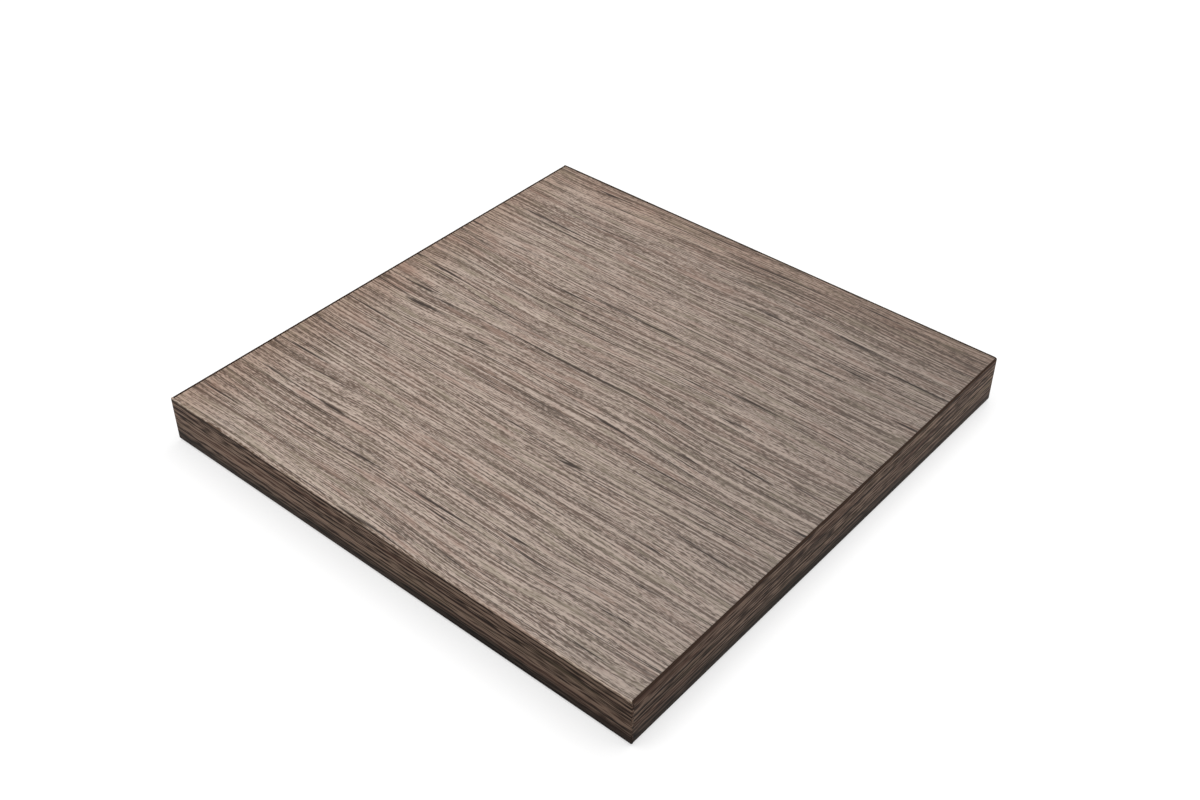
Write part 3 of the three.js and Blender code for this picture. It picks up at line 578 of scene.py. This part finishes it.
def flatSheet(name, outlines, z0, z1, ease):
    # A flat curve with its holes, filled, given the thickness z1 - z0 and eased at every edge.
    curve = bpy.data.curves.new(name, "CURVE")
    curve.dimensions = "2D"
    curve.fill_mode = "BOTH"
    for outline in outlines:
        spline = curve.splines.new("POLY")
        spline.points.add(len(outline) - 1)
        flat = np.column_stack([outline, np.zeros(len(outline)), np.ones(len(outline))])
        spline.points.foreach_set("co", flat.ravel())
        spline.use_cyclic_u = True
    curve.extrude = (z1 - z0) / 2 - ease
    curve.bevel_depth = ease
    curve.bevel_resolution = flatSteps
    curve.offset = -ease
    holder = bpy.data.objects.new(name, curve)
    scene.collection.objects.link(holder)
    evaluated = bpy.context.evaluated_depsgraph_get()
    mesh = bpy.data.meshes.new_from_object(holder.evaluated_get(evaluated))
    bpy.data.objects.remove(holder)
    mesh.transform(Matrix.Translation((0, 0, (z0 + z1) / 2)))
    return tidyMesh(mesh)


def carve(mesh, cutters):
    # The mesh less each cutter, as one mesh again.
    body = bpy.data.objects.new("carved", mesh)
    scene.collection.objects.link(body)
    tools = []
    for cutter in cutters:
        tool = bpy.data.objects.new("cutter", cutter)
        scene.collection.objects.link(tool)
        step = body.modifiers.new("carve", "BOOLEAN")
        step.operation, step.solver, step.object = "DIFFERENCE", "EXACT", tool
        tools.append(tool)
    evaluated = bpy.context.evaluated_depsgraph_get()
    result = bpy.data.meshes.new_from_object(body.evaluated_get(evaluated))
    for thing in [body, *tools]:
        bpy.data.objects.remove(thing)
    return tidyMesh(result)


def prism(outline, bottom, top):
    # The outline, carried straight up from bottom to top.
    rings = [np.column_stack([outline, np.full(len(outline), z)]) for z in (bottom, top)]
    return newMesh("prism", np.concatenate(rings), ringFaces(2, len(outline)))


topSheet = {"ease": 0.12 * mm, "corner": 0.1 * mm, "steps": 4}


def makeTopSheet():
    # Rings of the outline from the lower face up, the last few inset along a quarter circle.
    (x0, y0, z0), (x1, y1, z1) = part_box("top_laminate")
    ease, corner, steps = topSheet["ease"], topSheet["corner"], topSheet["steps"]
    inset, rise = edgeArc(steps)
    curved = zip(z1 - ease * rise[::-1], ease * inset[::-1])
    levels = [(z0, 0.0), *curved]
    rings = []
    for z, side in levels:
        outline = roundedBox((x1 - x0) / 2 - side, (y1 - y0) / 2 - side, corner, steps)
        rings.append(np.column_stack([outline, np.full(len(outline), z)]))
    faces = ringFaces(len(rings), 4 * steps)
    mesh = newMesh("topSheet", np.concatenate(rings), faces)
    addPiece("topSheet", mesh, "top_decor", "top_laminate")


band = {
    "arris": 0.25 * mm, "steps": 7,
    "cutShare": 0.9,  # the most of its thickness that a corner's rounding cuts away
    # radius of the board's corners, seen from above, by the signs of X and Y
    "corners": {(1, 1): 1.6 * mm, (-1, 1): 0.4 * mm, (-1, -1): 0.5 * mm, (1, -1): 0.3 * mm},
}
bandSides = {  # outward direction and material
    "front": (0, -1, "bandFront"), "right": (1, 0, "bandSide"),
    "back": (0, 1, "bandBack"), "left": (-1, 0, "bandSide"),
}


def cornerRecess(radius, start, thickness):
    # Distances from the board's corner, and how far the quarter circle there cuts back the face:
    # radius - sqrt(radius^2 - (radius - distance)^2). It starts where that is under cutShare of
    # the thickness, or where the band itself starts.
    reach = radius - band["cutShare"] * thickness
    first = radius - math.sqrt(radius ** 2 - reach ** 2) if reach > 0 else 0.0
    first = max(first, start)
    if radius <= first:
        return np.array([start]), np.zeros(1)
    angle = np.linspace(math.asin((radius - first) / radius), 0, band["steps"])
    return radius - radius * np.sin(angle), radius - radius * np.cos(angle)


def bandGrid(start, thickness, z0, z1, radii):
    # Sections across the band, as (along, depth, height). Depth is measured in from the outer
    # face, which has a quarter circle at its top and bottom, and follows the board's corners:
    # depth = recess + section * (1 - recess / thickness).
    arris = band["arris"]
    inset, rise = edgeArc(band["steps"])
    lower = np.stack([arris * inset, z0 + arris * rise], -1)
    upper = np.stack([arris * inset[::-1], z1 - arris * rise[::-1]], -1)
    section = np.concatenate([[[thickness, z0]], lower, upper, [[thickness, z1]]])
    first, firstRecess = cornerRecess(radii[0], start, thickness)
    last, lastRecess = cornerRecess(radii[1], start, thickness)
    along = np.concatenate([low[0] + first, (high[0] - last)[::-1]])
    recess = np.concatenate([firstRecess, lastRecess[::-1]])[:, None]
    depth = recess + section[None, :, 0] * (1 - recess / thickness)
    height = np.broadcast_to(section[None, :, 1], depth.shape)
    return np.broadcast_to(along[:, None], depth.shape), depth, height


inlet = {
    "gap": 0.3 * mm, "steps": 24,
    "endShare": 0.999,  # rounding, as a share of half the opening's height
}


def inletWindow(thickness):
    # A round-ended opening round the flange, right through the back band. It is cut lying down
    # and then turned up about X.
    (x0, _, z0), (x1, _, z1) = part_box("inlet_bezel")
    gap = inlet["gap"]
    width, tall = (x1 - x0) / 2 + gap, (z1 - z0) / 2 + gap
    outline = roundedBox(width, tall, tall * inlet["endShare"], inlet["steps"])
    cutter = prism(outline, -high[1] - thickness, -high[1] + 2 * thickness)
    middle = (z0 + z1) / 2
    cutter.transform(Matrix.Translation((0, 0, middle)) @ Matrix.Rotation(math.pi / 2, 4, "X"))
    return cutter


def makeBands():
    # The outer face stands at half the board's length, less the depth, in the band's direction.
    for side, (outX, outY, slotName) in bandSides.items():
        node = "edge_band_" + side
        begin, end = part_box(node)
        size = end - begin
        thickness = min(size[:2])
        offset = begin[1] - low[1] if outX else 0.0  # the side bands end inside the other two
        ends = ((outX, -1), (outX, 1)) if outX else ((-1, outY), (1, outY))
        radii = [band["corners"][spot] for spot in ends]
        run, depth, height = bandGrid(offset, thickness, begin[2], end[2], radii)
        place = (high[0] - depth) * (outX or outY)
        grid = np.stack([place, run, height] if outX else [run, place, height], -1)
        mesh = newMesh("band" + side.title(), grid.reshape(-1, 3), ringFaces(*grid.shape[:2]))
        if side == "back":
            mesh = carve(mesh, [inletWindow(thickness)])
        addPiece("band" + side.title(), mesh, slotName, node)


cover = {
    "gap": 0.3 * mm, "ease": 0.3 * mm, "steps": 120, "endSteps": 40,
    "strip": 24 * mm,  # width of the tail over the lead
    "vents": 10, "ventWidth": 2 * mm, "ventInner": 13 * mm, "ventOuter": 25 * mm,
    "ventEnd": 0.998, "ventSteps": 8,  # rounding, as a share of half the vent's width
    "screwGap": 0.15 * mm, "screwSteps": 36,
}


def coverOutline(grow):
    # A disc, and a strip with a round end that leaves it towards +Y.
    (_, y0, _), (_, y1, _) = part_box("base_cover")
    radius, half = -y0 + grow, cover["strip"] / 2 + grow
    end = y1 + grow - half
    opening = math.degrees(math.asin(half / radius))
    disc = arc(0, 0, radius, 90 + opening, 450 - opening, cover["steps"])
    return np.concatenate([disc, arc(0, end, half, 0, 180, cover["endSteps"])])


def makeBottomSheet():
    # The board's outline, with an opening a gap wider than the cover.
    (_, _, z0), (x1, y1, z1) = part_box("bottom_laminate")
    outline = roundedBox(x1, y1, topSheet["corner"], topSheet["steps"])
    mesh = flatSheet("bottomSheet", [outline, coverOutline(cover["gap"])], z0, z1, topSheet["ease"])
    addPiece("bottomSheet", mesh, "top_decor", "bottom_laminate")


def makeCover():
    # The cover's outline, with round-ended vents turned about the middle in even steps, and a
    # round hole for each screw.
    (_, _, z0), (_, _, z1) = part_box("base_cover")
    half = (cover["ventOuter"] - cover["ventInner"]) / 2
    wide = cover["ventWidth"] / 2
    vent = roundedBox(half, wide, wide * cover["ventEnd"], cover["ventSteps"])
    vent[:, 0] += (cover["ventInner"] + cover["ventOuter"]) / 2
    outlines = [coverOutline(0)]
    for angle in np.arange(cover["vents"]) * 2 * math.pi / cover["vents"]:
        turn = np.array([[math.cos(angle), math.sin(angle)], [-math.sin(angle), math.cos(angle)]])
        outlines.append(vent @ turn)
    steps = cover["screwSteps"]
    for node in screwNodes(("cover_screw", "case_screw")):
        start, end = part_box(node)
        radius = (end[0] - start[0]) / 2 + cover["screwGap"]
        x, y, _ = (start + end) / 2
        outlines.append(arc(x, y, radius, 0, 360 - 360 / steps, steps))
    mesh = flatSheet("baseCover", outlines, z0, z1, cover["ease"])
    addPiece("baseCover", mesh, "dark_plastic", "base_cover")


foot = {
    "sides": 64, "round": 0.3 * mm, "roundSteps": 6,
    "dish": 0.12 * mm, "dishFloor": 0.6, "dishEdge": 0.72,  # the last two are shares of its radius
    "hub": 0.02,  # the small flat in the middle, also a share of its radius
}


def lathe(name, profile, sides):
    # Rings of (radius cos, radius sin, height) round the Z axis, one for each profile point.
    angle = np.arange(sides) * 2 * math.pi / sides
    radius, height = profile[:, :1], profile[:, 1:]
    grid = np.stack([radius * np.cos(angle), radius * np.sin(angle),
                     np.broadcast_to(height, (len(profile), sides))], -1)
    return newMesh(name, grid.reshape(-1, 3), ringFaces(len(profile), sides))


def makeFeet():
    # The standing face is a ring with a rounded edge round a shallow dish.
    for index in range(1, 5):
        (x0, y0, z0), (x1, y1, z1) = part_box(f"rubber_foot_{index}")
        radius, edge = (x1 - x0) / 2, foot["round"]
        side, up = edgeArc(foot["roundSteps"])
        rim = np.stack([radius - edge * side, z0 + edge * up], -1)
        dish = np.array([[foot["hub"], foot["dish"]], [foot["dishFloor"], foot["dish"]],
                         [foot["dishEdge"], 0.0]])
        dish = dish * (radius, 1) + (0, z0)
        profile = np.concatenate([dish, rim, [[radius, z1], [foot["hub"] * radius, z1]]])
        mesh = lathe("foot", profile, foot["sides"])
        mesh.transform(Matrix.Translation(((x0 + x1) / 2, (y0 + y1) / 2, 0)))
        addPiece(f"foot{index}", mesh, "rubber", f"rubber_foot_{index}")


screw = {
    "sides": 48, "rim": 0.2 * mm, "ease": 0.12 * mm, "easeSteps": 4,
    "pitch": 0.9 * mm, "root": 0.78,  # radius between the threads, as a share of the shank's
    "tip": 0.01,  # radius of the point, as a share of the head's
    # the cross: shares of the head's radius, and of its height
    "crossReach": 0.6, "crossFoot": 0.18, "crossHalf": 0.11, "crossDepth": 0.85,
    "turn": 1.1,  # angle from one screw's cross to the next one's, in radians
}
screwKinds = {  # height of the countersunk head, radius of the shank, and material
    "cover_screw": (1.5 * mm, 1.5 * mm, "zinc_steel"),
    "case_screw": (1.2 * mm, 1.25 * mm, "black_steel"),
    "inlet_screw": (1.1 * mm, 1.1 * mm, "black_steel"),
}


def screwNodes(kinds):
    return sorted(name for name in frame["nodes"] if name.startswith(tuple(kinds)))


def screwMesh(head, sink, shank, length):
    # A countersunk head, a shank whose radius falls and rises once for each turn of thread,
    # and a pointed tip. It stands on its head, and a tapered cross is cut into the head.
    ease, root, tip = screw["ease"], shank * screw["root"], head * screw["tip"]
    side, up = edgeArc(screw["easeSteps"])
    profile = [(tip, 0.0), *zip(head - ease * side, ease * up), (head, screw["rim"]), (shank, sink)]
    threadEnd = length - 2 * shank
    for height in np.arange(sink + screw["pitch"] / 2, threadEnd, screw["pitch"]):
        profile += [(root, height), (shank, height + screw["pitch"] / 2)]
    profile += [(root, threadEnd + shank / 2), (tip, length)]
    body = lathe("screw", np.array(profile), screw["sides"])
    wide, narrow = head * screw["crossReach"], head * screw["crossFoot"]
    half, deep = head * screw["crossHalf"], sink * screw["crossDepth"]
    x = np.array([-wide, wide, wide, -wide, -narrow, narrow, narrow, -narrow])
    y = np.array([-half, -half, half, half] * 2)
    z = np.array([-ease] * 4 + [deep] * 4)
    cutters = []
    for turn in (0, math.pi / 2):
        cutter = newMesh("cross", np.stack([x, y, z], -1), ringFaces(2, 4))
        cutter.transform(Matrix.Rotation(turn, 4, "Z"))
        cutters.append(cutter)
    return carve(body, cutters)


def makeScrews():
    # Each screw is made standing on its head, turned a little further than the one before. The
    # inlet's two lie along Y, with their heads at the back.
    for kind, (sink, shank, slotName) in screwKinds.items():
        for order, node in enumerate(screwNodes([kind])):
            start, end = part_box(node)
            size, middle = end - start, (start + end) / 2
            lying = kind == "inlet_screw"
            mesh = screwMesh(size[0] / 2, sink, shank, size[1] if lying else size[2])
            turned = Matrix.Rotation(order * screw["turn"], 4, "Z")
            if lying:
                place = Matrix.Translation((middle[0], end[1], middle[2]))
                turned = Matrix.Rotation(math.pi / 2, 4, "X") @ turned
            else:
                place = Matrix.Translation((middle[0], middle[1], start[2]))
            mesh.transform(place @ turned)
            addPiece(node.title().replace("_", ""), mesh, slotName, node)


makeCamera()
makeWorld()
for name, (place, size, power) in light["lamps"].items():
    makeAreaLight(name, place, size, power)
makeFloor(materials["floor"])
scene.view_settings.view_transform = "Standard"
scene.view_settings.exposure = light["exposure"]
print("camera, light and floor are in place")

slotOf = {row["node"]: row["material_slot"] for row in frame["record"]["subparts"]}
for name, node in frame["nodes"].items():
    slot = slotOf[name]
    if slot == "edge_decor":
        slot = bandSides[name.split("_")[-1]][2]
    node.data.materials.clear()
    node.data.materials.append(materials[slot])
print("CAD nodes have their materials")

makeTopSheet()
makeBands()
makeBottomSheet()
print("the board is made")
makeCover()
makeFeet()
makeScrews()
print("the cover, feet and screws are made")
